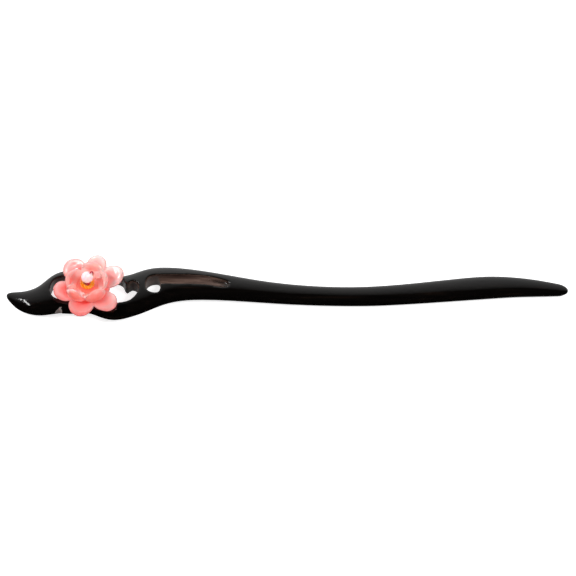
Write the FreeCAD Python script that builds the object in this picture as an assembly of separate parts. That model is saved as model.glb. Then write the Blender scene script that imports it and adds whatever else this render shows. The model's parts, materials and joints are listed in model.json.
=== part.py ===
"""Decorative hair pin: a carved hardwood stick with a two-layer glass flower tied to its head.

Units are millimetres. +X runs along the stick from the head to the hair end, +Y to the side of the
head's higher arch, and +Z out of the front, where the flower faces. Every position below is measured
from the flower's turning axis and the plane of the flat back. The finished pieces are then moved so
that the origin is on the flat back, halfway along the stick and in the middle of its shaft.
"""

import FreeCAD
import Part

import math
import os

V = FreeCAD.Vector
Z_AXIS = V(0, 0, 1)
OUT = "parts"
FRAME_ORIGIN = V(63.8, 0.7, 0)  # seen from the flower's axis

# ---- wooden stick: four outlines that every cross-section fits into ------------------------------
TAIL_X = -26.2
NOSE_X = 153.8
TAIL_Y, NOSE_Y = 0.45, 2.35
TAIL_Z, NOSE_Z = 1.9, 1.75
TAIL_ROUND, NOSE_ROUND = 0.7, 3.4  # lengths over which the two ends are rounded off

ARCH_SIDE = [
    (TAIL_X, 1.0), (-24.5, 1.4), (-21.5, 1.4), (-18.2, 1.85), (-15.4, 3.35), (-12.5, 6.2),
    (-9.2, 8.35), (-4.5, 9.1), (1.0, 8.25), (6.0, 7.1), (10.0, 6.7), (14.0, 7.65), (19.0, 9.6),
    (25.0, 10.25), (32.5, 9.65), (42.0, 8.0), (56.0, 5.2), (71.5, 3.35), (87.0, 3.05),
    (102.5, 4.4), (118.0, 6.5), (128.5, 7.5), (137.0, 7.15), (146.0, 5.85), (150.5, 4.9),
    (NOSE_X, 4.3),
]
BELLY_SIDE = [
    (TAIL_X, -0.4), (-25.2, -1.7), (-22.8, -4.4), (-18.8, -6.7), (-14.0, -7.5), (-9.0, -6.95),
    (-4.5, -7.15), (0.2, -6.9), (3.8, -8.3), (8.3, -9.5), (12.5, -8.75), (18.2, -6.5),
    (24.6, -3.35), (31.0, -1.75), (38.0, -1.4), (48.5, -1.8), (64.0, -2.85), (79.0, -3.4),
    (90.0, -3.4), (103.0, -2.7), (118.0, -1.5), (130.0, -0.45), (138.0, 0.15), (146.5, 0.4),
    (NOSE_X, 0.45),
]
SKIN = 0.25  # how much of the rounded back is sanded off to make the flat at z = 0
FRONT_SIDE = [
    (TAIL_X, 2.3), (-25.4, 2.8), (-23.0, 3.7), (-19.5, 4.8), (-15.0, 5.75), (-10.0, 6.15),
    (5.0, 6.25), (20.0, 6.2), (35.0, 5.8), (60.0, 5.1), (90.0, 4.7), (115.0, 4.4), (135.0, 4.0),
    (145.0, 3.55), (150.0, 3.15), (NOSE_X, 2.85),
]
BACK_SIDE = [
    (TAIL_X, 1.45), (-25.4, 1.1), (-23.0, 0.35), (-19.5, -0.15), (-15.0, -SKIN), (20.0, -SKIN),
    (80.0, -SKIN), (138.0, -SKIN), (145.0, -0.1), (150.0, 0.3), (NOSE_X, 0.65),
]
SECTION_POWER = 2.3  # superellipse power: 2 is an ellipse, more is squarer
AROUND = 16  # control points round each cross-section
STATIONS = 64  # spaces between cross-sections, which are closer together near the ends
PATCH = 13  # spaces that one patch of the skin covers
PETAL_STATIONS = 13
PETAL_POWER = 3.2

# ---- carved openings -----------------------------------------------------------------------------
LEFT_WINDOW = [
    (-12.0, 1.0), (-11.8, -1.2), (-10.8, -2.6), (-8.4, -3.4), (-5.2, -3.6), (-3.5, -2.3),
    (-3.1, 0.3), (-3.5, 3.5), (-5.2, 5.2), (-8.4, 5.25), (-10.9, 4.0),
]
RIGHT_WINDOW = [
    (3.1, 0.0), (3.5, -3.1), (5.6, -4.7), (9.7, -4.85), (13.4, -3.8), (15.5, -1.6), (16.35, 0.7),
    (15.8, 2.6), (14.3, 3.35), (13.25, 2.75), (12.5, 2.3), (11.8, 2.95), (11.45, 4.0),
    (10.2, 4.85), (7.8, 5.1), (5.2, 5.1), (3.5, 3.4),
]
COMMA_HOLE = [
    (18.45, 1.7), (19.1, 0.0), (21.0, -0.8), (22.7, -0.3), (23.15, 1.2), (23.15, 3.8),
    (22.6, 5.5), (20.9, 5.6), (19.2, 4.6), (18.5, 3.1),
]
WINDOW_EDGE_R = 0.3
COMMA_EDGE_R = 0.4
NOTCH = [(-11.6, -8.0), (-8.6, -6.15), (-7.8, -8.2)]  # nick between the tail and the lower strand
# comma's tail, a blind groove: x, y of its middle, half width, depth
GROOVE = [
    (20.8, 3.7, 1.5, 2.8), (22.4, 4.0, 1.7, 3.1), (26.2, 4.15, 1.75, 3.0), (30.0, 4.25, 1.75, 2.7),
    (33.8, 4.25, 1.7, 2.3), (37.2, 4.05, 1.65, 1.9), (39.8, 3.65, 1.65, 1.6),
    (42.0, 3.1, 1.6, 1.3), (43.8, 2.7, 1.35, 0.95), (44.9, 2.6, 0.85, 0.55),
]
GROOVE_START, GROOVE_END = (19.9, 3.5), (45.4, 2.6)

# ---- tie: the bridge across the head's opening, and the thread through it --------------------------
BRIDGE_BACK_Z = 1.9  # the bridge's back is cut up to here, which makes room for the knot
BRIDGE_HALF_X = 4.6
BRIDGE_HALF_Y = 3.0
BRIDGE_CORNER_R = 1.2
THREAD_R = 0.5  # two strands twisted together
STRAND_R = 0.27
BRIDGE_BORE_R = 0.6
GLASS_BORE_R = 0.58  # leaves the thread 0.08 mm of running clearance
KNOT_R = 1.25
KNOT_FLATNESS = 0.66  # its height as a share of its width
KNOT_TOP_GAP = 0.02

# ---- the dish between the two flower layers: (distance from the axis, height) of its lower side ---
DISH = [(5.2, 7.5), (6.6, 8.15), (7.6, 8.95), (8.1, 9.8)]
LAYER_GAP = 0.12

# ---- outer flower ----------------------------------------------------------------------------------
OUTER_HUB_Z = 6.45
OUTER_HUB_R = 7.2
OUTER_HUB_RISE = 0.5  # how far the rim's underside stands above the middle's
OUTER_PETAL_THICK = 1.6
OUTER_CUP_R = 6.8  # radius to which a petal is cupped from side to side
OUTER_FOOT = (5.6, 7.3)  # where each petal's middle line starts: distance from the axis, height
OUTER_BELLY, OUTER_FOOT_SHARE = 0.42, 0.55  # where a petal is widest; its share of that at the foot
# angle; distance from the axis, and height, of the tip; half width
OUTER_PETALS = [
    (24, 12.10, 9.80, 4.10),
    (70, 11.10, 9.95, 3.45),
    (124, 10.60, 9.90, 4.15),
    (197, 11.20, 9.30, 4.10),
    (257, 12.20, 9.20, 4.20),
    (312, 12.40, 9.10, 4.05),
]

# ---- inner flower ----------------------------------------------------------------------------------
INNER_HUB_R = 4.7
INNER_HUB_THICK = 1.15
INNER_PETAL_THICK = 1.35
INNER_CUP_R = 4.6
INNER_FOOT = (3.2, 8.2)
INNER_BELLY, INNER_FOOT_SHARE = 0.5, 0.72
# angle; furthest distance from the axis; distance, and height, of the tip; half width
INNER_PETALS = [
    (14, 5.90, 5.60, 11.60, 4.10),
    (70, 6.40, 6.20, 12.40, 4.00),
    (160, 6.30, 6.10, 11.00, 4.30),
    (232, 7.10, 5.60, 11.40, 4.20),
    (299, 7.10, 5.20, 11.90, 3.70),
]

# ---- stamen ring -----------------------------------------------------------------------------------
STAMEN_Z = DISH[0][1] + LAYER_GAP + INNER_HUB_THICK
STAMEN_BASE_R = 1.9
STAMEN_BASE = 0.45
STAMEN_COUNT = 14
STAMEN_FOOT_R = 1.65
STAMEN_STALK_R = 0.24
STAMEN_TIP_R = 0.32
STAMEN_LENGTH = 0.95
STAMEN_LEAN = 40.0
STAMEN_BORE_R = 0.75

# ---- bead: threaded on a slant, above the stamens --------------------------------------------------
BEAD_Z = 12.7
BEAD_R = 1.95
BEAD_HALF = 1.7
BEAD_HOLE_R = 0.35
BEAD_SIDES = 8
BEAD_TURN, BEAD_TILT = 40.0, 45.0  # which way the hole points: from +X towards +Y, and upwards
COLLAR_Z = 10.35  # the thread's wrap round its own stem, under the bead
COLLAR_R = 1.0
# path of the thread's loop round the bead: distance from the axis on the hole's high side, height
LOOP_UP = [(0.3, 10.2), (1.4, 10.65), (2.1, 11.5), (2.37, 12.6), (2.2, 13.5), (1.62, 14.0)]
LOOP_DOWN = [(-1.5, 11.2), (-1.5, 10.85), (-1.0, 10.5), (-0.3, 10.2)]


def at_x(curve, x):
    """The point of a curve that always runs towards +X, where it passes x."""
    low, high = curve.FirstParameter, curve.LastParameter
    for _ in range(60):
        middle = (low + high) / 2
        if curve.value(middle).x < x:
            low = middle
        else:
            high = middle
    return curve.value((low + high) / 2)


def spline(points):
    """An open smooth curve through (x, y) points."""
    curve = Part.BSplineCurve()
    curve.interpolate(Points=[V(x, y, 0) for x, y in points])
    return curve


def closed_face(points, pieces=3):
    """A flat face inside a smooth closed curve through (x, y) points."""
    curve = Part.BSplineCurve()
    curve.interpolate(Points=[V(x, y, 0) for x, y in points], PeriodicFlag=True)
    step = (curve.LastParameter - curve.FirstParameter) / pieces
    stops = [curve.FirstParameter + step * i for i in range(pieces + 1)]
    edges = [curve.toShape(begin, end) for begin, end in zip(stops[:-1], stops[1:])]
    return Part.Face(Part.Wire(edges))


def prism(face, low, high):
    """The face pushed straight from one height to another."""
    face.translate(V(0, 0, low))
    return face.extrude(V(0, 0, high - low))


def ring_of_poles(x, y_mid, z_mid, half_y, half_z, power=SECTION_POWER):
    """Control points round a superelliptic cross-section, which the surface just touches."""
    quarter = math.cos(2 * math.pi / AROUND) ** (2 / power)
    reach = 6 / (4 + 2 * quarter)
    points = []
    for i in range(AROUND):
        turn = 2 * math.pi * i / AROUND - math.pi / 2
        across, up = math.cos(turn), math.sin(turn)
        y = math.copysign(abs(across) ** (2 / power), across) * half_y * reach
        z = math.copysign(abs(up) ** (2 / power), up) * half_z * reach
        points.append(V(x, y_mid + y, z_mid + z))
    return points


def skinned(start, rings, end):
    """A smooth solid skin over rings of control points, closed by a point at each end."""
    rows = [[start] * AROUND] + rings + [[end] * AROUND]
    lines = []
    for i in range(AROUND):
        line = Part.BSplineCurve()
        line.interpolate(Points=[row[i] for row in rows], Parameters=list(range(len(rows))))
        lines.append(line)
    surface = Part.BSplineSurface()
    surface.buildFromPolesMultsKnots(
        [line.getPoles() for line in lines],
        [1] * (AROUND + 1), lines[0].getMultiplicities(),
        list(range(AROUND + 1)), lines[0].getKnots(), True, False, 3, 3,
    )
    faces = []
    stops = list(range(0, len(rows) - PATCH // 2, PATCH)) + [len(rows) - 1]
    for first in (AROUND / 4, AROUND * 3 / 4):
        for begin, finish in zip(stops[:-1], stops[1:]):
            patch = surface.copy()
            patch.segment(first, first + AROUND / 2, begin, finish)
            faces.append(patch.toShape())
    skin = Part.Compound(faces)
    skin.sewShape()
    solid = Part.Solid(skin.Shells[0])
    if solid.Volume < 0:
        solid.reverse()
    return solid


def rounding(distance, length):
    """The share of its full size that a round-ended bar has at a distance from its end."""
    rest = max(0.0, 1 - distance / length)
    return math.sqrt(1 - rest * rest)


def stick_blank():
    """The stick's rounded outer shape, before the openings are carved, with its flat back."""
    arch, belly = spline(ARCH_SIDE), spline(BELLY_SIDE)
    front, back = spline(FRONT_SIDE), spline(BACK_SIDE)
    rings = []
    for i in range(1, STATIONS):
        x = TAIL_X + (NOSE_X - TAIL_X) * (1 - math.cos(math.pi * i / STATIONS)) / 2
        y_high, y_low = at_x(arch, x).y, at_x(belly, x).y
        z_high, z_low = at_x(front, x).y, at_x(back, x).y
        share = rounding(x - TAIL_X, TAIL_ROUND) * rounding(NOSE_X - x, NOSE_ROUND)
        half_y, half_z = (y_high - y_low) / 2 * share, (z_high - z_low) / 2 * share
        rings.append(ring_of_poles(x, (y_high + y_low) / 2, (z_high + z_low) / 2, half_y, half_z))
    blank = skinned(V(TAIL_X, TAIL_Y, TAIL_Z), rings, V(NOSE_X, NOSE_Y, NOSE_Z))
    below = Part.makeBox(300, 100, 20, V(-100, -50, -20))
    return blank.cut(below)


def groove_cutter():
    """The blind groove: a round-bottomed gouge that gets narrower and shallower along its way."""
    front = spline(FRONT_SIDE)
    rings = []
    for x, y, half_width, depth in GROOVE:
        rings.append(ring_of_poles(x, y, at_x(front, x).y - 0.05, half_width, depth))
    ends = [V(x, y, at_x(front, x).y - 0.05) for x, y in (GROOVE_START, GROOVE_END)]
    return skinned(ends[0], rings, ends[1])


def rounded_box(half_x, half_y, corner, low, high):
    """A box with rounded upright corners, centred on the flower's axis."""
    box = Part.makeBox(2 * half_x, 2 * half_y, high - low, V(-half_x, -half_y, low))
    upright = [e for e in box.Edges if abs(e.tangentAt(e.FirstParameter).z) > 0.99]
    return box.makeFillet(corner, upright)


def front_edges(solid, outline):
    """The edges where an opening's upright wall meets the front."""
    wall = closed_face(outline).OuterWire
    found = []
    for edge in solid.Edges:
        if edge.Degenerated or edge.BoundBox.ZMin < 3:
            continue
        foots = [Part.Vertex(V(p.x, p.y, 0)) for p in edge.discretize(Number=9)]
        if all(wall.distToShape(foot)[0] < 0.01 for foot in foots):
            found.append(edge)
    return found


def round_edges(solid, edges, radius):
    """Rounds the edges, or leaves them sharp where the kernel can't."""
    try:
        rounded = solid.makeFillet(radius, edges)
        if rounded.isValid() and rounded.Volume > 0:
            return rounded
    except Exception as problem:
        print("edges left sharp:", problem)
    return solid


def hair_stick():
    """The carved wooden stick with its two windows, bridge, comma opening, groove and nick."""
    wood = stick_blank()
    for outline in (LEFT_WINDOW, RIGHT_WINDOW):
        wood = wood.cut(prism(closed_face(outline), -1, 10))
        wood = round_edges(wood, front_edges(wood, outline), WINDOW_EDGE_R)
    wood = wood.cut(prism(closed_face(COMMA_HOLE), -1, 10))
    wood = round_edges(wood, front_edges(wood, COMMA_HOLE), COMMA_EDGE_R)
    wood = wood.cut(groove_cutter())
    corners = [V(x, y, -1) for x, y in NOTCH]
    nick = Part.Face(Part.makePolygon(corners + corners[:1]))
    wood = wood.cut(nick.extrude(V(0, 0, 10)))
    wood = wood.cut(rounded_box(BRIDGE_HALF_X, BRIDGE_HALF_Y, BRIDGE_CORNER_R, -1, BRIDGE_BACK_Z))
    return wood.cut(Part.makeCylinder(BRIDGE_BORE_R, 10, V(0, 0, 0)))


def round_bar(points, radius):
    """A round strand along a smooth path through points."""
    path = Part.BSplineCurve()
    path.interpolate(Points=points)
    wire = Part.Wire(path.toShape())
    start, way = path.value(path.FirstParameter), path.tangent(path.FirstParameter)[0]
    ring = Part.Wire(Part.Circle(start, way, radius).toShape())
    return wire.makePipeShell([ring], True, False)


def bead_axis():
    """Unit direction of the bead's hole."""
    turn, tilt = math.radians(BEAD_TURN), math.radians(BEAD_TILT)
    return V(math.cos(tilt) * math.cos(turn), math.cos(tilt) * math.sin(turn), math.sin(tilt))


def binding_thread():
    """The tied thread: a stem through the bridge and the glass, and a loop through the bead."""
    foot = BRIDGE_BACK_Z - 1.0
    thread = Part.makeCylinder(THREAD_R, COLLAR_Z - foot, V(0, 0, foot))
    thread = thread.fuse(Part.makeTorus(COLLAR_R, STRAND_R, V(0, 0, COLLAR_Z)))
    out = V(math.cos(math.radians(BEAD_TURN)), math.sin(math.radians(BEAD_TURN)), 0)
    inside = [V(0, 0, BEAD_Z) + bead_axis() * along for along in (1.2, 0, -1.2)]
    up = [out * distance + V(0, 0, z) for distance, z in LOOP_UP]
    down = [out * distance + V(0, 0, z) for distance, z in LOOP_DOWN]
    thread = thread.fuse(round_bar(up + inside + down, STRAND_R))
    return thread.removeSplitter()


def back_knot():
    """The stopper knot under the bridge, pulled up on the thread."""
    knot = Part.makeSphere(KNOT_R)
    flat = FreeCAD.Matrix()
    flat.scale(1, 1, KNOT_FLATNESS)
    knot = knot.transformGeometry(flat)
    knot.translate(V(0, 0, BRIDGE_BACK_Z - KNOT_TOP_GAP - KNOT_FLATNESS * KNOT_R))
    return knot.cut(Part.makeCylinder(THREAD_R, 6, V(0, 0, BRIDGE_BACK_Z - 1.0)))


def revolved(points):
    """A ring about the flower's axis from an outline of (distance from the axis, height)."""
    corners = [V(r, 0, z) for r, z in points]
    face = Part.Face(Part.makePolygon(corners + corners[:1]))
    return face.revolve(V(0, 0, 0), Z_AXIS, 360)


def above_dish(gap):
    """The space where the inner flower turns, shrunk by a gap."""
    points = [(r - gap, z + gap) for r, z in DISH]
    return revolved([(0, points[0][1])] + points + [(points[-1][0], 20), (0, 20)])


def round_rim(disc, radius, edge_r):
    """Rounds the edges that run right round a disc at its full radius."""
    rim = [e for e in disc.Edges if e.Length > 2 * math.pi * radius * 0.98]
    return round_edges(disc, rim, edge_r)


def petal(angle, spine, half_width, belly, foot_share, cup_r, thick):
    """A cupped glass petal: one thick rounded leaf whose middle line follows a spine.

    The spine is a list of (distance from the axis, height). The leaf is widest at the share of its
    length that belly gives, where its width is measured round the curve of its cup."""
    path = Part.BSplineCurve()
    path.interpolate(Points=[V(r, 0, z) for r, z in spine])
    length = path.length()
    rings = []
    for i in range(1, PETAL_STATIONS):
        share = (1 - math.cos(math.pi * i / PETAL_STATIONS)) / 2
        where = path.parameterAtDistance(share * length, path.FirstParameter)
        middle, along = path.value(where), path.tangent(where)[0]
        upper = V(-along.z, 0, along.x)
        if share < belly:
            width = foot_share + (1 - foot_share) * math.sin(math.pi / 2 * share / belly)
        else:
            width = math.sqrt(1 - ((share - belly) / (1 - belly)) ** 2)
        width *= half_width * rounding(share, 0.1)
        half_thick = thick / 2 * rounding(share, 0.1) * rounding(1 - share, 0.12)
        ring = []
        for pole in ring_of_poles(0, 0, 0, width, half_thick, PETAL_POWER):
            turn, reach = pole.y / cup_r, cup_r - pole.z
            offset = V(0, reach * math.sin(turn), 0) + upper * (cup_r - reach * math.cos(turn))
            ring.append(middle + offset)
        rings.append(ring)
    leaf = skinned(path.value(path.FirstParameter), rings, path.value(path.LastParameter))
    leaf.rotate(V(0, 0, 0), Z_AXIS, angle)
    return leaf


def outer_petal(angle, tip_r, tip_z, half_width):
    """A spread spoon: level at first, rising towards its tip."""
    foot_r, foot_z = OUTER_FOOT
    out, up = tip_r - foot_r, tip_z - foot_z
    spine = [OUTER_FOOT, (foot_r + 0.42 * out, foot_z + 0.10 * up),
             (foot_r + 0.78 * out, foot_z + 0.42 * up), (tip_r, tip_z)]
    return petal(angle, spine, half_width, OUTER_BELLY, OUTER_FOOT_SHARE, OUTER_CUP_R,
                 OUTER_PETAL_THICK)


def inner_petal(angle, bulge_r, tip_r, tip_z, half_width):
    """An upright bowl side: out from the hub, round the bulge, and up and in to its tip."""
    foot_r, foot_z = INNER_FOOT
    up = tip_z - foot_z
    spine = [INNER_FOOT, (bulge_r - 0.75, foot_z + 0.08 * up), (bulge_r, foot_z + 0.4 * up),
             (0.6 * bulge_r + 0.4 * tip_r, foot_z + 0.75 * up), (tip_r, tip_z)]
    return petal(angle, spine, half_width, INNER_BELLY, INNER_FOOT_SHARE, INNER_CUP_R,
                 INNER_PETAL_THICK)


def outer_flower():
    """The outer hub and its six spread petals, each trimmed where it meets what it's joined to."""
    low, high = OUTER_HUB_Z, DISH[0][1]
    disc = revolved([
        (GLASS_BORE_R, low), (OUTER_HUB_R * 0.45, low), (OUTER_HUB_R, low + OUTER_HUB_RISE),
        (OUTER_HUB_R, high + 0.6), (DISH[0][0] + 0.2, high), (GLASS_BORE_R, high),
    ])
    disc = round_rim(disc, OUTER_HUB_R, 0.4)
    inside = Part.makeCylinder(OUTER_HUB_R - 0.4, 20)
    pieces = {"outer_hub": disc}
    taken = disc.fuse(inside)
    for i, row in enumerate(OUTER_PETALS, 1):
        blade = outer_petal(*row).cut(taken).cut(above_dish(0))
        pieces[f"outer_petal_{i}"] = blade
        taken = taken.fuse(blade)
    return pieces


def inner_flower():
    """The inner hub and its five upright petals, which stand round the hub's rim."""
    low = DISH[0][1] + LAYER_GAP
    high = low + INNER_HUB_THICK
    disc = revolved([
        (GLASS_BORE_R, low), (INNER_HUB_R, low), (INNER_HUB_R, high), (GLASS_BORE_R, high),
    ])
    inside = Part.makeCylinder(INNER_HUB_R - 1.3, high)
    pieces = {"inner_hub": disc}
    taken = disc.fuse(inside)
    for i, row in enumerate(INNER_PETALS, 1):
        blade = inner_petal(*row).cut(taken).common(above_dish(LAYER_GAP))
        pieces[f"inner_petal_{i}"] = blade
        taken = taken.fuse(blade)
    return pieces


def stamen_ring():
    """The yellow stamens: a small disc with a crown of round-tipped stalks that lean outwards."""
    ring = Part.makeCylinder(STAMEN_BASE_R, STAMEN_BASE, V(0, 0, STAMEN_Z))
    lean = math.radians(STAMEN_LEAN)
    way = V(math.sin(lean), 0, math.cos(lean))
    foot = V(STAMEN_FOOT_R, 0, STAMEN_Z + STAMEN_STALK_R)
    for i in range(STAMEN_COUNT):
        stalk = Part.makeCylinder(STAMEN_STALK_R, STAMEN_LENGTH, foot, way)
        stalk = stalk.fuse(Part.makeSphere(STAMEN_TIP_R, foot + way * STAMEN_LENGTH))
        stalk.rotate(V(0, 0, 0), Z_AXIS, 360 * i / STAMEN_COUNT)
        ring = ring.fuse(stalk)
    return ring.cut(Part.makeCylinder(STAMEN_BORE_R, 20))


def centre_bead():
    """The faceted bead, threaded on a slant, so that its hole lies across the flower's axis."""
    rings = [(-BEAD_HALF, 0.5), (-BEAD_HALF * 0.6, 0.88), (0, 1.0), (BEAD_HALF * 0.6, 0.88),
             (BEAD_HALF, 0.5)]
    wires = []
    for along, share in rings:
        corners = []
        for i in range(BEAD_SIDES + 1):
            turn = 2 * math.pi * i / BEAD_SIDES
            radius = BEAD_R * share
            corners.append(V(along, radius * math.cos(turn), radius * math.sin(turn)))
        wires.append(Part.makePolygon(corners))
    bead = Part.makeLoft(wires, True, True)
    bead = bead.cut(Part.makeCylinder(BEAD_HOLE_R, 10, V(-5, 0, 0), V(1, 0, 0)))
    bead.rotate(V(0, 0, 0), V(0, 1, 0), -BEAD_TILT)
    bead.rotate(V(0, 0, 0), Z_AXIS, BEAD_TURN)
    bead.translate(V(0, 0, BEAD_Z))
    return bead


def main():
    os.makedirs(OUT, exist_ok=True)
    pieces = {
        "hair_stick": hair_stick(),
        "binding_thread": binding_thread(),
        "back_knot": back_knot(),
        "stamen_ring": stamen_ring(),
        "centre_bead": centre_bead(),
    }
    pieces.update(outer_flower())
    pieces.update(inner_flower())
    for name, shape in sorted(pieces.items()):
        print(name, "solids", len(shape.Solids), "valid", shape.isValid(), round(shape.Volume, 2))
        shape.translate(-FRAME_ORIGIN)
        shape.exportStep(os.path.join(OUT, name + ".step"))


main()
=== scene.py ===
"""Looks of the decorative hair pin: polished black wood, lampworked glass flower, bead and thread.

Lengths of the object are millimetres from the flower's turning axis and the plane of the flat back,
and place() turns them into the frame's metres. The stage's lengths are metres.
"""

import json
import math

import bmesh
import bpy
from mathutils import Matrix, Vector, noise
from mathutils.bvhtree import BVHTree


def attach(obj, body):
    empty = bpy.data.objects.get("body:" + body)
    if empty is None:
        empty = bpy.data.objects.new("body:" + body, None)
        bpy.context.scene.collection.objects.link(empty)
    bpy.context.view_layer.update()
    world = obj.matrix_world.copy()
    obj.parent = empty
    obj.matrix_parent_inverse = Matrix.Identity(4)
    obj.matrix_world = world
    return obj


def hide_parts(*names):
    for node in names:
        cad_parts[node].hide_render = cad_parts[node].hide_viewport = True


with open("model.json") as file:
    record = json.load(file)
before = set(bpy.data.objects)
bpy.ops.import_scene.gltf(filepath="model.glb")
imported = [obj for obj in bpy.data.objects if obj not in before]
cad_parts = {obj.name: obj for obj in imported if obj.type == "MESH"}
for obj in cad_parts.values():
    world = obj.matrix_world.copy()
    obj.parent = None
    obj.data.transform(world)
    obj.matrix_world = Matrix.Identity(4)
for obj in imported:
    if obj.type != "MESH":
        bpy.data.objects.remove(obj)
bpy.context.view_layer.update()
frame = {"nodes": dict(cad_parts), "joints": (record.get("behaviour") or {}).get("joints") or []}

MM = 0.001
PETAL_SEED = 3  # of the petals' unevenness; without one, the noise starts from the clock
noise.seed_set(PETAL_SEED)
JOINTS = {joint["name"]: joint for joint in frame["joints"]}
AXIS_X, AXIS_Y, _ = JOINTS["outer_flower_turn"]["pos_m"]
BEAD_CENTRE = Vector(JOINTS["bead_roll"]["pos_m"])
BEAD_AXIS = Vector(JOINTS["bead_roll"]["axis"]).normalized()

# ---- petals: angle; spine's points (distance from the axis, height); half width; cup's radius ----
OUTER_PETALS = {
    "outer_petal_1": (24, [(4.2, 6.95), (7.2, 7.2), (10.1, 8.2), (12.1, 9.7)], 4.0, 8.0),
    "outer_petal_2": (70, [(4.2, 6.95), (7.0, 7.2), (9.4, 8.4), (11.15, 9.9)], 3.4, 8.0),
    "outer_petal_3": (124, [(4.2, 6.95), (7.0, 7.2), (9.0, 8.3), (10.6, 9.75)], 4.1, 8.0),
    "outer_petal_4": (197, [(4.2, 6.95), (7.2, 7.2), (9.3, 8.0), (11.0, 9.1)], 4.1, 7.0),
    "outer_petal_5": (257, [(4.2, 6.95), (7.4, 7.2), (10.2, 8.0), (12.2, 9.1)], 4.2, 6.0),
    "outer_petal_6": (312, [(4.2, 6.95), (7.5, 7.2), (10.3, 8.0), (12.4, 9.0)], 4.05, 6.0),
}
INNER_PETALS = {
    "inner_petal_1": (14, [(2.9, 8.3), (5.0, 8.6), (5.9, 9.6), (5.9, 10.6), (5.7, 11.4)], 4.2, 5.0),
    "inner_petal_2": (70, [(2.9, 8.3), (5.5, 8.6), (6.3, 9.8), (6.5, 11.1), (6.3, 12.2)], 4.1, 5.5),
    "inner_petal_3": (160, [(2.9, 8.3), (5.2, 8.5), (6.1, 9.2), (6.3, 10.0), (6.2, 10.8)], 4.3, 6.0),
    "inner_petal_4": (232, [(2.9, 8.3), (6.2, 8.6), (7.0, 9.4), (6.5, 10.5), (5.3, 11.1)], 4.3, 4.4),
    "inner_petal_5": (298, [(2.9, 8.3), (6.2, 8.7), (7.0, 9.6), (6.2, 10.9), (4.8, 11.6)], 4.0, 4.4),
}
# the gap between the two layers, which lets them turn: distance from the axis, height
DISH = [(5.2, 7.5), (6.6, 8.15), (7.6, 8.95), (8.1, 9.8)]
DISH_GAP = 0.1  # least distance of either layer from it, up or down
# the nick's two facets in plan: they meet at the middle point
NICK = [(-11.6, -8.0), (-8.6, -6.15), (-7.8, -8.2)]

CURVE_STEPS = 24  # steps between two given points of a smooth path, before it is spaced evenly
PETAL_PATH = 200  # points along a petal's spine
PETAL_ROWS, PETAL_AROUND = 44, 48
PETAL_SECTION_POWER = 2.4  # superellipse power: 2 is an ellipse, more is squarer
PETAL_WOBBLE, PETAL_WOBBLE_SCALE = 0.16, 0.33  # depth in mm; waves per mm
OUTER_THICK, OUTER_RIM, OUTER_FOOT, OUTER_BELLY = 2.0, 0.45, 0.75, 0.5
INNER_THICK, INNER_RIM, INNER_FOOT, INNER_BELLY = 1.7, 0.35, 0.9, 0.5

WOOD_VOXEL = 0.24
WOOD_EASE, WOOD_EASE_ROUNDS = 0.5, 14
ENCLOSURE_FROM, ENCLOSURE_TO = -16, 50  # the carved head's reach in x, where openings are
ENCLOSURE_RAYS, ENCLOSURE_REACH = 12, 9
ENCLOSURE_LEANS = (40, 66)  # degrees off the surface's normal, in turn
NICK_DEPTH = 0.16  # how far off a facet a point may lie

FLOOR_DROP = 0.05
FLOOR_HALF_SIDE = 2.0  # metres
CAMERA_AIM = (0.2, 1.886, 3.0)  # millimetres in the frame
CAMERA_TILT, CAMERA_DISTANCE = 55, 2048  # degrees above the table; millimetres


def place(x, y, z):
    """A point in the frame's metres from millimetres off the flower's axis."""
    return Vector((AXIS_X + x * MM, AXIS_Y + y * MM, z * MM))


def around_axis(distance, angle, z):
    """A point at a distance and an angle in degrees round the flower's axis."""
    turn = math.radians(angle)
    return place(distance * math.cos(turn), distance * math.sin(turn), z)


def smooth_path(points, count):
    """Evenly spaced points along a smooth curve through the given ones."""
    fine = []
    padded = [2 * points[0] - points[1]] + points + [2 * points[-1] - points[-2]]
    for a, b, c, d in zip(padded, padded[1:], padded[2:], padded[3:]):
        for i in range(CURVE_STEPS):
            t = i / CURVE_STEPS
            fine.append(0.5 * (2 * b + (c - a) * t + (2 * a - 5 * b + 4 * c - d) * t * t
                               + (3 * b - 3 * c + d - a) * t ** 3))
    fine.append(points[-1])
    lengths = [0.0]
    for a, b in zip(fine, fine[1:]):
        lengths.append(lengths[-1] + (b - a).length)
    even, at = [], 0
    for i in range(count):
        want = lengths[-1] * i / (count - 1)
        while at < len(fine) - 2 and lengths[at + 1] < want:
            at += 1
        share = (want - lengths[at]) / max(lengths[at + 1] - lengths[at], 1e-9)
        even.append(fine[at].lerp(fine[at + 1], min(share, 1)))
    return even


def new_piece(name, points, faces, body, materials, smooth=True):
    """A mesh object that rides on a CAD body, with its faces turned outwards."""
    mesh = bpy.data.meshes.new(name)
    mesh.from_pydata(points, [], faces)
    shape = bmesh.new()
    shape.from_mesh(mesh)
    bmesh.ops.recalc_face_normals(shape, faces=shape.faces)
    shape.to_mesh(mesh)
    shape.free()
    mesh.polygons.foreach_set("use_smooth", [smooth] * len(mesh.polygons))
    for material in materials:
        mesh.materials.append(material)
    piece = bpy.data.objects.new(name, mesh)
    bpy.context.scene.collection.objects.link(piece)
    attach(piece, body)
    return piece


def rows_to_mesh(rows, start, end, points, faces):
    """Adds a closed skin over rings of points, with a point at each end."""
    first, around = len(points), len(rows[0])
    points.append(start)
    for row in rows:
        points.extend(row)
    points.append(end)
    for i in range(around):
        j = (i + 1) % around
        faces.append((first, first + 1 + i, first + 1 + j))
        for r in range(len(rows) - 1):
            a, b = first + 1 + r * around, first + 1 + (r + 1) * around
            faces.append((a + i, b + i, b + j, a + j))
        last = first + 1 + (len(rows) - 1) * around
        faces.append((last + i, last + around, last + j))


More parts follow.
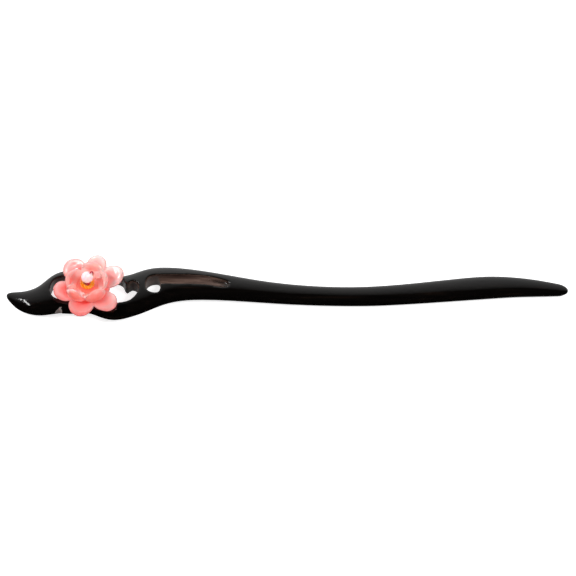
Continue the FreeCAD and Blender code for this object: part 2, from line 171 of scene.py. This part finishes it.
def rounding(distance, length):
    """The share of its full size that a round-ended bar has at a distance from its end."""
    rest = max(0.0, 1 - distance / length)
    return math.sqrt(1 - rest * rest)


def kept_in_layer(point, body):
    """The point moved up or down, where needed, to its own layer's side of the dish."""
    distance = math.hypot(point.x, point.y)
    for (low_r, low_z), (high_r, high_z) in zip(DISH, DISH[1:]):
        if distance < high_r:
            share = max(0.0, (distance - low_r) / (high_r - low_r))
            limit = low_z + (high_z - low_z) * share
            if body == "inner_flower":
                point.z = max(point.z, limit + DISH_GAP)
            else:
                point.z = min(point.z, limit - DISH_GAP)
            break
    return point


def superellipse(value):
    """A cosine or sine bent towards a squarer section."""
    return math.copysign(abs(value) ** (2 / PETAL_SECTION_POWER), value)


def petal(name, body, row, thick, rim, foot_share, belly, material):
    """A cupped glass petal with a rolled rim and the slight unevenness of hand-worked glass."""
    angle, spine, half_width, cup = row
    count, around = PETAL_ROWS, PETAL_AROUND
    last = PETAL_PATH - 1
    path = smooth_path([Vector((r, 0, z)) for r, z in spine], PETAL_PATH)
    rows, edges = [], []
    for i in range(1, count):
        share = (1 - math.cos(math.pi * i / count)) / 2
        k = min(int(share * last), last - 1)
        middle = path[k].lerp(path[k + 1], share * last - k)
        along = (path[min(k + 3, last)] - path[max(k - 3, 0)]).normalized()
        upper = Vector((-along.z, 0, along.x))
        past = max(0.0, (share - belly) / (1 - belly))
        if share < belly:
            width = foot_share + (1 - foot_share) * math.sin(math.pi / 2 * share / belly)
        else:
            width = math.sqrt(1 - past * past)
        width *= half_width * rounding(share, 0.08)
        half_thick = thick / 2 * rounding(share, 0.08) * rounding(1 - share, 0.14)
        half_thick *= 1 + rim * (min(1, share * 1.6) - 1)
        row_points = []
        for j in range(around):
            turn = 2 * math.pi * j / around
            across, up = superellipse(math.cos(turn)), superellipse(math.sin(turn))
            side, lift = across * width, up * half_thick
            bend, reach = side / cup, cup - lift
            local = middle + Vector((0, reach * math.sin(bend), 0))
            local += upper * (cup - reach * math.cos(bend))
            wobble = noise.noise_vector(local * PETAL_WOBBLE_SCALE + Vector((angle, 0, 0)))
            local += wobble * PETAL_WOBBLE * min(1, share * 3)
            local = kept_in_layer(local, body)
            t = math.radians(angle)
            row_points.append(place(local.x * math.cos(t) - local.y * math.sin(t),
                                    local.x * math.sin(t) + local.y * math.cos(t), local.z))
            edge = math.hypot(across * width / half_width, past)
            edges.append(edge)
        rows.append(row_points)
    points, faces = [], []
    start = around_axis(spine[0][0], angle, spine[0][1])
    tip = sum(rows[-1], Vector()) / around
    rows_to_mesh(rows, start, tip, points, faces)
    piece = new_piece(name + "_glass", points, faces, body, [material])
    values = piece.data.attributes.new("edge", "FLOAT", "POINT")
    values.data.foreach_set("value", [0.0] + edges + [1.0])
    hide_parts(name)
    return piece


def add_tube(path, radii, sides, points, faces):
    """Adds a round-ended tube of varying radius along a list of points."""
    side = (path[1] - path[0]).orthogonal().normalized()
    rows = []
    for i, at in enumerate(path):
        along = (path[min(i + 1, len(path) - 1)] - path[max(i - 1, 0)]).normalized()
        side = (side - along * side.dot(along)).normalized()
        other = along.cross(side)
        row = []
        for j in range(sides):
            turn = 2 * math.pi * j / sides
            row.append(at + (side * math.cos(turn) + other * math.sin(turn)) * radii[i])
        rows.append(row)
    first = path[0] - (path[1] - path[0]).normalized() * radii[0] * 0.5
    last = path[-1] + (path[-1] - path[-2]).normalized() * radii[-1] * 0.5
    rows_to_mesh(rows, first, last, points, faces)


def add_twist(path, plies, ply_radius, offset, pitch, sides, points, faces):
    """Adds plies twisted round each other along a path. Lengths are in metres."""
    side = (path[1] - path[0]).orthogonal().normalized()
    strands, travelled = [[] for _ in range(plies)], 0.0
    for i, at in enumerate(path):
        along = (path[min(i + 1, len(path) - 1)] - path[max(i - 1, 0)]).normalized()
        side = (side - along * side.dot(along)).normalized()
        other = along.cross(side)
        for k, strand in enumerate(strands):
            turn = 2 * math.pi * (travelled / pitch + k / plies)
            strand.append(at + (side * math.cos(turn) + other * math.sin(turn)) * offset)
        if i + 1 < len(path):
            travelled += (path[i + 1] - at).length
    for strand in strands:
        add_tube(strand, [ply_radius] * len(strand), sides, points, faces)


def thread(material):
    """Two-ply thread: a stem through bridge and glass, a wrap under the bead, a loop through it."""
    points, faces = [], []
    stem = [place(0, 0, 0.95 + 9.5 * i / 95) for i in range(96)]
    add_twist(stem, 2, 0.25 * MM, 0.24 * MM, 2.6 * MM, 10, points, faces)
    wrap = []
    for i in range(91):
        turn = 2.5 * 2 * math.pi * i / 90
        wrap.append(place(0.95 * math.cos(turn), 0.95 * math.sin(turn), 10.1 + 0.6 * i / 90))
    add_twist(wrap, 2, 0.14 * MM, 0.12 * MM, 1.0 * MM, 8, points, faces)
    level = Vector((BEAD_AXIS.x, BEAD_AXIS.y, 0)).normalized()
    loop = [(0.3, 10.2), (1.4, 10.65), (2.1, 11.5), (2.37, 12.6), (2.2, 13.5), (1.62, 14.0)]
    knots = [place(0, 0, z) + level * r * MM for r, z in loop]
    knots += [BEAD_CENTRE + BEAD_AXIS * along * MM for along in (1.2, 0, -1.2)]
    loop = [(-1.5, 11.2), (-1.5, 10.85), (-1.0, 10.5), (-0.3, 10.2)]
    knots += [place(0, 0, z) + level * r * MM for r, z in loop]
    add_twist(smooth_path(knots, 150), 2, 0.14 * MM, 0.12 * MM, 1.0 * MM, 8, points, faces)
    piece = new_piece("tied_thread", points, faces, "stick", [material])
    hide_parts("binding_thread")


def stopper_knot(material):
    """A small overhand knot, flattened against the bridge."""
    path = []
    for i in range(121):
        t = 2 * math.pi * i / 120
        reach = 0.60 + 0.27 * math.cos(3 * t)
        path.append(place(reach * math.cos(2 * t), reach * math.sin(2 * t),
                          1.06 + 0.40 * math.sin(3 * t)))
    points, faces = [], []
    add_twist(path, 3, 0.20 * MM, 0.16 * MM, 1.6 * MM, 8, points, faces)
    piece = new_piece("stopper_knot", points, faces, "stick", [material])
    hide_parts("back_knot")


def stamens(material):
    """A fluted glass ring with two rows of round-tipped stalks."""
    points, faces = [], []
    ring, around = [], 120
    profile = [(0.76, 8.72), (1.2, 8.72), (1.7, 8.74), (1.95, 8.85), (1.98, 9.0), (1.85, 9.15),
               (1.6, 9.28), (1.25, 9.32), (0.95, 9.28), (0.78, 9.12)]
    for i in range(around):
        flute = 1 + 0.05 * math.cos(18 * 2 * math.pi * i / around)
        ring.append([around_axis(r * (flute if r > 1.5 else 1), 360 * i / around, z)
                     for r, z in profile])
    size = len(profile)
    for row in ring:
        points.extend(row)
    for i in range(around):
        for j in range(size):
            a, b = i * size, (i + 1) % around * size
            faces.append((a + j, b + j, b + (j + 1) % size, a + (j + 1) % size))
    rows = ((18, 0, 1.55, 2.38, 9.95, 0.19, 0.3), (11, 10, 1.2, 1.55, 10.0, 0.16, 0.26))
    for count, start, foot, reach, top, stalk_r, tip_r in rows:
        for i in range(count):
            angle = start + 360 * i / count
            uneven = noise.noise(Vector((angle, count, 0.5)))
            knots = [around_axis(foot, angle, 9.1),
                     around_axis(foot * 0.5 + reach * 0.5 + 0.1, angle + 3 * uneven, 9.55),
                     around_axis(reach, angle + 6 * uneven, top + 0.12 * uneven - tip_r)]
            path = smooth_path(knots, 16)
            radii = []
            for k in range(16):
                swell = math.exp(-((k - 13.2) / 1.9) ** 2)
                radii.append((stalk_r * (1 - 0.25 * k / 15) + (tip_r - stalk_r) * swell) * MM)
            radii[-1] *= 0.6
            add_tube(path, radii, 12, points, faces)
    piece = new_piece("stamen_crown", points, faces, "inner_flower", [material])
    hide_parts("stamen_ring")


def bead(material):
    """A fire-polished bead: kite facets round a slanted hole, with softened edges."""
    sides = 10
    rings = [(-1.68, 0.36, 0), (-1.7, 0.95, 0), (-1.0, 1.66, 0.5), (0, 1.95, 0), (1.0, 1.66, 0.5),
             (1.7, 0.95, 0), (1.68, 0.36, 0)]
    side = BEAD_AXIS.orthogonal().normalized()
    other = BEAD_AXIS.cross(side)
    points, faces = [], []
    for along, radius, shift in rings:
        for i in range(sides):
            turn = 2 * math.pi * (i + shift) / sides
            out = side * math.cos(turn) + other * math.sin(turn)
            points.append(BEAD_CENTRE + BEAD_AXIS * along * MM + out * radius * MM)
    for r in range(len(rings)):
        a, b = r * sides, (r + 1) % len(rings) * sides
        step = rings[(r + 1) % len(rings)][2] - rings[r][2]
        for i in range(sides):
            j = (i + 1) % sides
            if step > 0:
                faces += [(a + i, a + j, b + i), (a + j, b + j, b + i)]
            elif step < 0:
                faces += [(a + i, b + j, b + i), (a + i, a + j, b + j)]
            else:
                faces.append((a + i, a + j, b + j, b + i))
    piece = new_piece("faceted_bead", points, faces, "bead", [material], False)
    soften = piece.modifiers.new("soften", "BEVEL")
    soften.width = 0.05 * MM
    soften.segments = 2
    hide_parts("centre_bead")


def copy_of(node, name, body):
    """A new piece with its own copy of a CAD node's mesh."""
    source = frame["nodes"][node]
    piece = bpy.data.objects.new(name, source.data.copy())
    bpy.context.scene.collection.objects.link(piece)
    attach(piece, body)
    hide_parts(node)
    return piece


def apply_modifiers(piece):
    """Turns a piece's modifiers into its mesh."""
    graph = bpy.context.evaluated_depsgraph_get()
    done = bpy.data.meshes.new_from_object(piece.evaluated_get(graph))
    piece.modifiers.clear()
    piece.data = done


def enclosure(tree, at, out):
    """How enclosed a point of the carved head is: the share of rays that hit the stick again."""
    if not ENCLOSURE_FROM * MM < at.x - AXIS_X < ENCLOSURE_TO * MM:
        return 0.0
    side = out.orthogonal().normalized()
    other = out.cross(side)
    hits = 0
    for k in range(ENCLOSURE_RAYS):
        turn = 2 * math.pi * k / ENCLOSURE_RAYS
        lean = math.radians(ENCLOSURE_LEANS[0] if k % 2 else ENCLOSURE_LEANS[1])
        way = out * math.cos(lean)
        way += (side * math.cos(turn) + other * math.sin(turn)) * math.sin(lean)
        if tree.ray_cast(at + out * 0.05 * MM, way, ENCLOSURE_REACH * MM)[0] is not None:
            hits += 1
    return hits / ENCLOSURE_RAYS


def in_nick(at, corners):
    """True for a point on one of the nick's two facets."""
    a, b, c = corners
    if not a.x < at.x < c.x or at.y > b.y + 0.1 * MM:
        return False
    for low, high in ((a, b), (b, c)):
        along = (high - low).normalized()
        away = Vector((at.x, at.y, 0)) - low
        if abs(along.x * away.y - along.y * away.x) < NICK_DEPTH * MM:
            return True
    return False


def carved_stick(material):
    """The stick with evenly spaced points and soft edges, each point marked as enclosed, and as on
    the nick, whose facets get pale grey painted light.
    """
    piece = copy_of("hair_stick", "carved_stick", "stick")
    even = piece.modifiers.new("even", "REMESH")
    even.mode = "VOXEL"
    even.voxel_size = WOOD_VOXEL * MM
    fit = piece.modifiers.new("fit", "SHRINKWRAP")
    fit.target = frame["nodes"]["hair_stick"]
    ease = piece.modifiers.new("ease", "SMOOTH")
    ease.factor = WOOD_EASE
    ease.iterations = WOOD_EASE_ROUNDS
    apply_modifiers(piece)
    mesh = piece.data
    mesh.materials.clear()
    mesh.materials.append(material)
    mesh.polygons.foreach_set("use_smooth", [True] * len(mesh.polygons))
    shell = bmesh.new()
    shell.from_mesh(mesh)
    tree = BVHTree.FromBMesh(shell)
    shell.free()
    corners = [place(x, y, 0) for x, y in NICK]
    enclosed, nick_painted_light = [], []
    for vertex in mesh.vertices:
        at, out = vertex.co, vertex.normal
        enclosed.append(enclosure(tree, at, out))
        nick_painted_light.append(1.0 if in_nick(at, corners) else 0.0)
    for name, values in (("enclosed", enclosed), ("nick_painted_light", nick_painted_light)):
        layer = mesh.attributes.new(name, "FLOAT", "POINT")
        layer.data.foreach_set("value", values)
    return piece


# ---- materials -----------------------------------------------------------------------------------
class Nodes:
    """Builds a node material with short calls."""

    def __init__(self, name):
        self.material = bpy.data.materials.new(name)
        self.material.use_nodes = True
        self.tree = self.material.node_tree
        self.shader = self.tree.nodes["Principled BSDF"]

    def add(self, kind, settings=None, **inputs):
        """A node with its settings and its inputs, each a value or another node's output."""
        node = self.tree.nodes.new(kind)
        for key, value in (settings or {}).items():
            setattr(node, key, value)
        for key, value in inputs.items():
            self.feed(node, key.replace("_", " "), value)
        return node

    def feed(self, node, key, value):
        socket = node.inputs[int(key[1:])] if key[1:].isdigit() else node.inputs[key]
        if isinstance(value, bpy.types.NodeSocket):
            self.tree.links.new(value, socket)
        else:
            socket.default_value = value

    def ramp(self, value, stops):
        """A colour ramp over a value; stops are (position, (r, g, b))."""
        node = self.add("ShaderNodeValToRGB", None, Fac=value)
        band = node.color_ramp
        while len(band.elements) < len(stops):
            band.elements.new(0.5)
        for element, (position, colour) in zip(band.elements, stops):
            element.position = position
            element.color = (*colour, 1)
        return node.outputs["Color"]

    def mix(self, share, a, b):
        """Colour a turned into b by a share."""
        node = self.add("ShaderNodeMix", {"data_type": "RGBA"})
        for socket, value in ((node.inputs[0], share), (node.inputs[6], a), (node.inputs[7], b)):
            if isinstance(value, bpy.types.NodeSocket):
                self.tree.links.new(value, socket)
            else:
                socket.default_value = (*value, 1) if isinstance(value, tuple) else value
        return node.outputs[2]

    def sums(self, operation, a, b=0.0):
        """An arithmetic step on one or two values."""
        return self.add("ShaderNodeMath", {"operation": operation}, _0=a, _1=b).outputs[0]

    def spread(self, value, low, high):
        """A value's smooth share of the way from low to high."""
        node = self.add("ShaderNodeMapRange", {"interpolation_type": "SMOOTHSTEP"}, Value=value)
        node.inputs["From Min"].default_value = low
        node.inputs["From Max"].default_value = high
        return node.outputs["Result"]

    def place(self, scale):
        """The piece's own coordinates from the flower's axis, in millimetres times a scale."""
        where = self.add("ShaderNodeTexCoord").outputs["Object"]
        moved = self.add("ShaderNodeVectorMath", {"operation": "SUBTRACT"}, _0=where,
                         _1=(AXIS_X, AXIS_Y, 0))
        scaled = self.add("ShaderNodeVectorMath", {"operation": "MULTIPLY"}, _0=moved.outputs[0],
                          _1=tuple(1000 * s for s in scale))
        return scaled.outputs[0]

    def noise(self, scale, detail=3.0, rough=0.5):
        node = self.add("ShaderNodeTexNoise", None, Vector=self.place(scale), Scale=1.0,
                        Detail=detail, Roughness=rough)
        return node.outputs["Fac"]

    def bump(self, height, strength, distance):
        node = self.add("ShaderNodeBump", None, Height=height, Strength=strength,
                        Distance=distance * MM)
        self.tree.links.new(node.outputs["Normal"], self.shader.inputs["Normal"])

    def set(self, **inputs):
        for key, value in inputs.items():
            self.feed(self.shader, key.replace("_", " "), value)


def black_wood():
    """Oiled, hand-polished blackwood: faint lengthwise grain, brown and dull where it's carved, pale
    grey painted light on the nick's facets.
    """
    n = Nodes("black_wood")
    grain = n.noise((0.05, 1.3, 1.3), 5, 0.6)
    pores = n.noise((0.35, 9.0, 9.0), 2, 0.5)
    polished = n.ramp(grain, [(0.35, (0.0015, 0.0012, 0.0011)), (0.6, (0.003, 0.0023, 0.002)),
                              (0.75, (0.010, 0.0055, 0.004))])
    bare = n.ramp(n.noise((0.09, 1.3, 1.3), 4, 0.6),
                  [(0.3, (0.040, 0.022, 0.017)), (0.5, (0.095, 0.058, 0.046)),
                   (0.72, (0.17, 0.110, 0.088))])
    enclosed = n.add("ShaderNodeAttribute", {"attribute_name": "enclosed"}).outputs["Fac"]
    nick_painted_light = n.add("ShaderNodeAttribute", {"attribute_name": "nick_painted_light"}).outputs["Fac"]
    inside = n.spread(enclosed, 0.06, 0.4)
    # painted light: the nick's facets are painted pale grey
    n.set(Base_Color=n.mix(nick_painted_light, n.mix(inside, polished, bare), (0.33, 0.30, 0.28)))
    dull = n.sums("MULTIPLY", n.sums("MAXIMUM", inside, nick_painted_light), 0.3)
    n.set(Roughness=n.sums("ADD", n.sums("ADD", dull, 0.06), n.sums("MULTIPLY", grain, 0.05)))
    n.set(Specular_IOR_Level=0.45)
    pore = n.spread(pores, 0.36, 0.5)
    n.bump(n.sums("ADD", pore, n.sums("MULTIPLY", grain, 1.5)), 0.015, 0.03)
    return n.material


def petal_glass(name, deep, body, pale, near, far, painted_light_drift):
    """Milky lampworked glass: deep near the middle, pale and clearer at the rims.

    Painted light: the flower is also painted deeper towards its front and left and paler towards its
    back and right, by a share per millimetre, for how the light falls on it."""
    n = Nodes(name)
    where = n.add("ShaderNodeSeparateXYZ", None, Vector=n.place((1, 1, 1)))
    squares = n.sums("ADD", n.sums("MULTIPLY", where.outputs[0], where.outputs[0]),
                     n.sums("MULTIPLY", where.outputs[1], where.outputs[1]))
    reach = n.spread(n.sums("SQRT", squares), near, far)
    edge = n.add("ShaderNodeAttribute", {"attribute_name": "edge"}).outputs["Fac"]
    rim = n.spread(edge, 0.35, 1.0)
    cloud = n.noise((0.4, 0.4, 0.4), 3, 0.55)
    mottled = n.sums("ADD", reach, n.sums("MULTIPLY", n.sums("SUBTRACT", cloud, 0.5), 0.5))
    # painted light: shift turns the colour, and the rims more so, deeper towards the front left and
    # paler towards the back right
    shift = n.sums("ADD", n.sums("MULTIPLY", where.outputs[0], painted_light_drift[0]),
                   n.sums("MULTIPLY", where.outputs[1], painted_light_drift[1]))
    colour = n.mix(n.sums("ADD", mottled, shift), deep, body)
    painted_back_light = n.sums("MULTIPLY", n.sums("MAXIMUM", shift, 0.0), 0.5)
    at_rim = n.sums("MULTIPLY", rim, n.sums("ADD", n.sums("MULTIPLY", shift, 0.5), 0.6))
    colour = n.mix(n.sums("ADD", at_rim, painted_back_light), colour, pale)
    # painted reflection: colour and glow turn pale pink towards grazing angles
    facing = n.add("ShaderNodeLayerWeight", None, Blend=0.35).outputs["Facing"]
    painted_grazing_sheen = n.sums("MULTIPLY", n.spread(facing, 0.7, 1.0), 0.4)
    n.set(Base_Color=n.mix(painted_grazing_sheen, colour, (1.0, 0.84, 0.82)))
    n.set(Roughness=0.13, IOR=1.5, Subsurface_Weight=0.85, Subsurface_Scale=2.6 * MM)
    n.set(Subsurface_Radius=(1.0, 0.45, 0.38), Coat_Weight=0.5, Coat_Roughness=0.04)
    # painted glow: the glass glows faintly in its own colours
    n.set(Emission_Color=n.mix(painted_grazing_sheen, n.mix(rim, deep, body), (1.0, 0.9, 0.9)))
    n.set(Emission_Strength=0.12)
    n.set(Transmission_Weight=n.sums("ADD", n.sums("MULTIPLY", rim, 0.25), 0.35))
    ripple = n.noise((0.55, 0.55, 0.55), 2, 0.4)
    seeds = n.add("ShaderNodeTexVoronoi", None, Vector=n.place((1, 1, 1)), Scale=1.3)
    bubble = n.spread(seeds.outputs["Distance"], 0.0, 0.16)
    n.bump(n.sums("ADD", ripple, n.sums("MULTIPLY", bubble, 0.05)), 0.35, 0.25)
    return n.material


def stamen_glass():
    """Streaky orange and yellow glass."""
    n = Nodes("stamen_glass")
    streak = n.noise((1.5, 1.5, 0.7), 3, 0.5)
    n.set(Base_Color=n.ramp(streak, [(0.35, (0.95, 0.24, 0.02)), (0.55, (1.0, 0.45, 0.04)),
                                     (0.75, (1.0, 0.66, 0.18))]))
    n.set(Roughness=0.2, Subsurface_Weight=0.6, Subsurface_Scale=1.2 * MM, Coat_Weight=0.4)
    # painted glow: the stamens glow faintly orange
    n.set(Emission_Color=(1.0, 0.3, 0.03, 1.0), Emission_Strength=0.1)
    n.bump(n.noise((3, 3, 1.5), 2, 0.5), 0.2, 0.06)
    return n.material


def bead_glass():
    """Clear faceted glass with a trace of pink and a faint polish haze."""
    n = Nodes("bead_glass")
    haze = n.noise((1.2, 1.2, 1.2), 3, 0.5)
    n.set(Base_Color=n.ramp(haze, [(0.3, (1.0, 0.74, 0.78)), (0.7, (1.0, 0.92, 0.93))]))
    n.set(Transmission_Weight=0.2, IOR=1.52, Subsurface_Weight=0.7, Subsurface_Scale=1.5 * MM)
    # painted glow: the bead glows faintly pink
    n.set(Emission_Color=(1.0, 0.64, 0.62, 1.0), Emission_Strength=0.18)
    n.set(Roughness=n.sums("MULTIPLY", haze, 0.12), Coat_Weight=0.3)
    n.bump(haze, 0.08, 0.05)
    return n.material


def waxed_thread(name, dark, light):
    """Waxed twisted thread: fine fibres, dark and light in turn at random."""
    n = Nodes(name)
    fibre = n.noise((14, 14, 5), 4, 0.6)
    n.set(Base_Color=n.ramp(fibre, [(0.3, dark), (0.7, light)]))
    n.set(Roughness=0.5, Sheen_Weight=0.3)
    n.bump(fibre, 0.5, 0.03)
    return n.material


def paint(node, material):
    """Gives a CAD node one of this script's materials."""
    mesh = frame["nodes"][node].data
    mesh.materials.clear()
    mesh.materials.append(material)


# ---- the object ----------------------------------------------------------------------------------
# the last pair of each is the painted light's change per millimetre in x and y
OUTER_GLASS = petal_glass("outer_petal_glass", (0.95, 0.17, 0.15), (1.0, 0.40, 0.38),
                          (1.0, 0.77, 0.75), 4.8, 9.2, (0.035, 0.04))
INNER_GLASS = petal_glass("inner_petal_glass", (0.97, 0.21, 0.16), (1.0, 0.42, 0.38),
                          (1.0, 0.80, 0.77), 1.8, 5.2, (0.045, 0.10))
THREAD = waxed_thread("waxed_thread", (0.26, 0.006, 0.014), (0.75, 0.035, 0.05))

WOOD = carved_stick(black_wood())
paint("outer_hub", OUTER_GLASS)
paint("inner_hub", INNER_GLASS)
for petal_name, petal_row in OUTER_PETALS.items():
    petal(petal_name, "outer_flower", petal_row, OUTER_THICK, OUTER_RIM, OUTER_FOOT, OUTER_BELLY,
          OUTER_GLASS)
for petal_name, petal_row in INNER_PETALS.items():
    petal(petal_name, "inner_flower", petal_row, INNER_THICK, INNER_RIM, INNER_FOOT, INNER_BELLY,
          INNER_GLASS)
stamens(stamen_glass())
bead(bead_glass())
thread(THREAD)
stopper_knot(THREAD)


# ---- stage ---------------------------------------------------------------------------------------
def look_at(thing, spot):
    """Turns a light or camera to face a spot."""
    thing.rotation_euler = (Vector(spot) - thing.location).to_track_quat("-Z", "Y").to_euler()


def soft_light(name, spot, size, power, aim, mirrored):
    """A softbox, which may be left out of reflections."""
    data = bpy.data.lights.new(name, "AREA")
    data.shape = "RECTANGLE"
    data.size, data.size_y = size
    data.energy = power
    lamp = bpy.data.objects.new(name, data)
    lamp.location = spot
    lamp.visible_glossy = mirrored
    bpy.context.scene.collection.objects.link(lamp)
    look_at(lamp, aim)
    return lamp


def strip_light(name, start, end, width, power, aim):
    """A long thin softbox from start to end, facing a spot."""
    start, end = Vector(start), Vector(end)
    lamp = soft_light(name, (start + end) / 2, ((end - start).length, width), power, aim, True)
    along = (end - start).normalized()
    back = lamp.location - Vector(aim)
    back = (back - along * back.dot(along)).normalized()
    turn = Matrix((along, back.cross(along), back)).transposed()
    lamp.rotation_euler = turn.to_euler()
    return lamp


def linked(lamp, piece, state):
    """Lets a lamp light one piece alone (INCLUDE), or all but that piece (EXCLUDE)."""
    group = bpy.data.collections.new(lamp.name)
    group.objects.link(piece)
    group.collection_objects[0].light_linking.link_state = state
    lamp.light_linking.receiver_collection = group


def floor():
    """A plain pale sheet: white to the camera, and in reflections only behind the pin."""
    mesh = bpy.data.meshes.new("floor")
    side = FLOOR_HALF_SIDE
    corners = [(-side, -side, 0), (side, -side, 0), (side, side, 0), (-side, side, 0)]
    mesh.from_pydata(corners, [], [(0, 1, 2, 3)])
    sheet = bpy.data.objects.new("floor", mesh)
    sheet.location.z = -FLOOR_DROP * MM
    bpy.context.scene.collection.objects.link(sheet)
    n = Nodes("floor")
    rays = n.add("ShaderNodeLightPath").outputs
    n.set(Base_Color=n.mix(rays["Is Glossy Ray"], (0.6, 0.6, 0.6), (0.0, 0.0, 0.0)))
    n.set(Roughness=0.9, Specular_IOR_Level=0.0, Emission_Color=(1, 1, 1, 1))
    where = n.add("ShaderNodeSeparateXYZ", None, Vector=n.place((1, 1, 1)))
    behind = n.sums("MULTIPLY", n.spread(where.outputs[1], -4, 12), 0.95)
    seen = n.sums("MAXIMUM", rays["Is Camera Ray"], rays["Is Transmission Ray"])
    in_gloss = n.sums("MULTIPLY", rays["Is Glossy Ray"], behind)
    n.set(Emission_Strength=n.sums("ADD", n.sums("MULTIPLY", seen, 0.82), in_gloss))
    mesh.materials.append(n.material)


def surroundings():
    """A studio that is bright behind the pin, and dark overhead and on the camera's side."""
    world = bpy.data.worlds.new("studio")
    bpy.context.scene.world = world
    world.use_nodes = True
    tree = world.node_tree
    where = tree.nodes.new("ShaderNodeTexCoord")
    parts = tree.nodes.new("ShaderNodeSeparateXYZ")
    ramp = tree.nodes.new("ShaderNodeMapRange")
    tree.links.new(where.outputs["Generated"], parts.inputs[0])
    tree.links.new(parts.outputs["Y"], ramp.inputs["Value"])
    ramp.inputs["From Min"].default_value = 0.1
    ramp.inputs["From Max"].default_value = 0.95
    ramp.inputs["To Min"].default_value = 0.0
    ramp.inputs["To Max"].default_value = 0.95
    tree.nodes["Background"].inputs["Color"].default_value = (1, 1, 1, 1)
    tree.links.new(ramp.outputs["Result"], tree.nodes["Background"].inputs["Strength"])


def camera():
    """A long lens, 55 degrees above the table, with the whole pin across the frame."""
    data = bpy.data.cameras.new("camera")
    data.lens = 400
    data.clip_start = 0.01
    eye = bpy.data.objects.new("camera", data)
    bpy.context.scene.collection.objects.link(eye)
    aim = Vector(tuple(part * MM for part in CAMERA_AIM))
    tilt = math.radians(CAMERA_TILT)
    eye.location = aim + Vector((0, -math.cos(tilt), math.sin(tilt))) * CAMERA_DISTANCE * MM
    look_at(eye, aim)
    bpy.context.scene.camera = eye


floor()
surroundings()
FLOWER = place(0, 0, 8)
soft_light("left_softbox", (-0.75, -0.1, 0.75), (0.4, 0.4), 7.0, FLOWER, False)
soft_light("right_softbox", (0.7, -0.2, 0.75), (0.4, 0.4), 6.0, FLOWER, False)
LEFT_CARD = soft_light("left_card", (-0.80, 0.17, 0.57), (0.15, 0.15), 1.6, FLOWER, True)
RIGHT_CARD = soft_light("right_card", (0.45, -0.27, 0.85), (0.15, 0.15), 1.6, FLOWER, True)
linked(LEFT_CARD, WOOD, "EXCLUDE")
linked(RIGHT_CARD, WOOD, "EXCLUDE")
STRIP = strip_light("left_strip", (-0.61, 0.43, 0.68), (-0.63, -0.14, 0.77), 0.035, 1.9, FLOWER)
linked(STRIP, WOOD, "INCLUDE")
camera()
bpy.context.scene.view_settings.view_transform = "Standard"
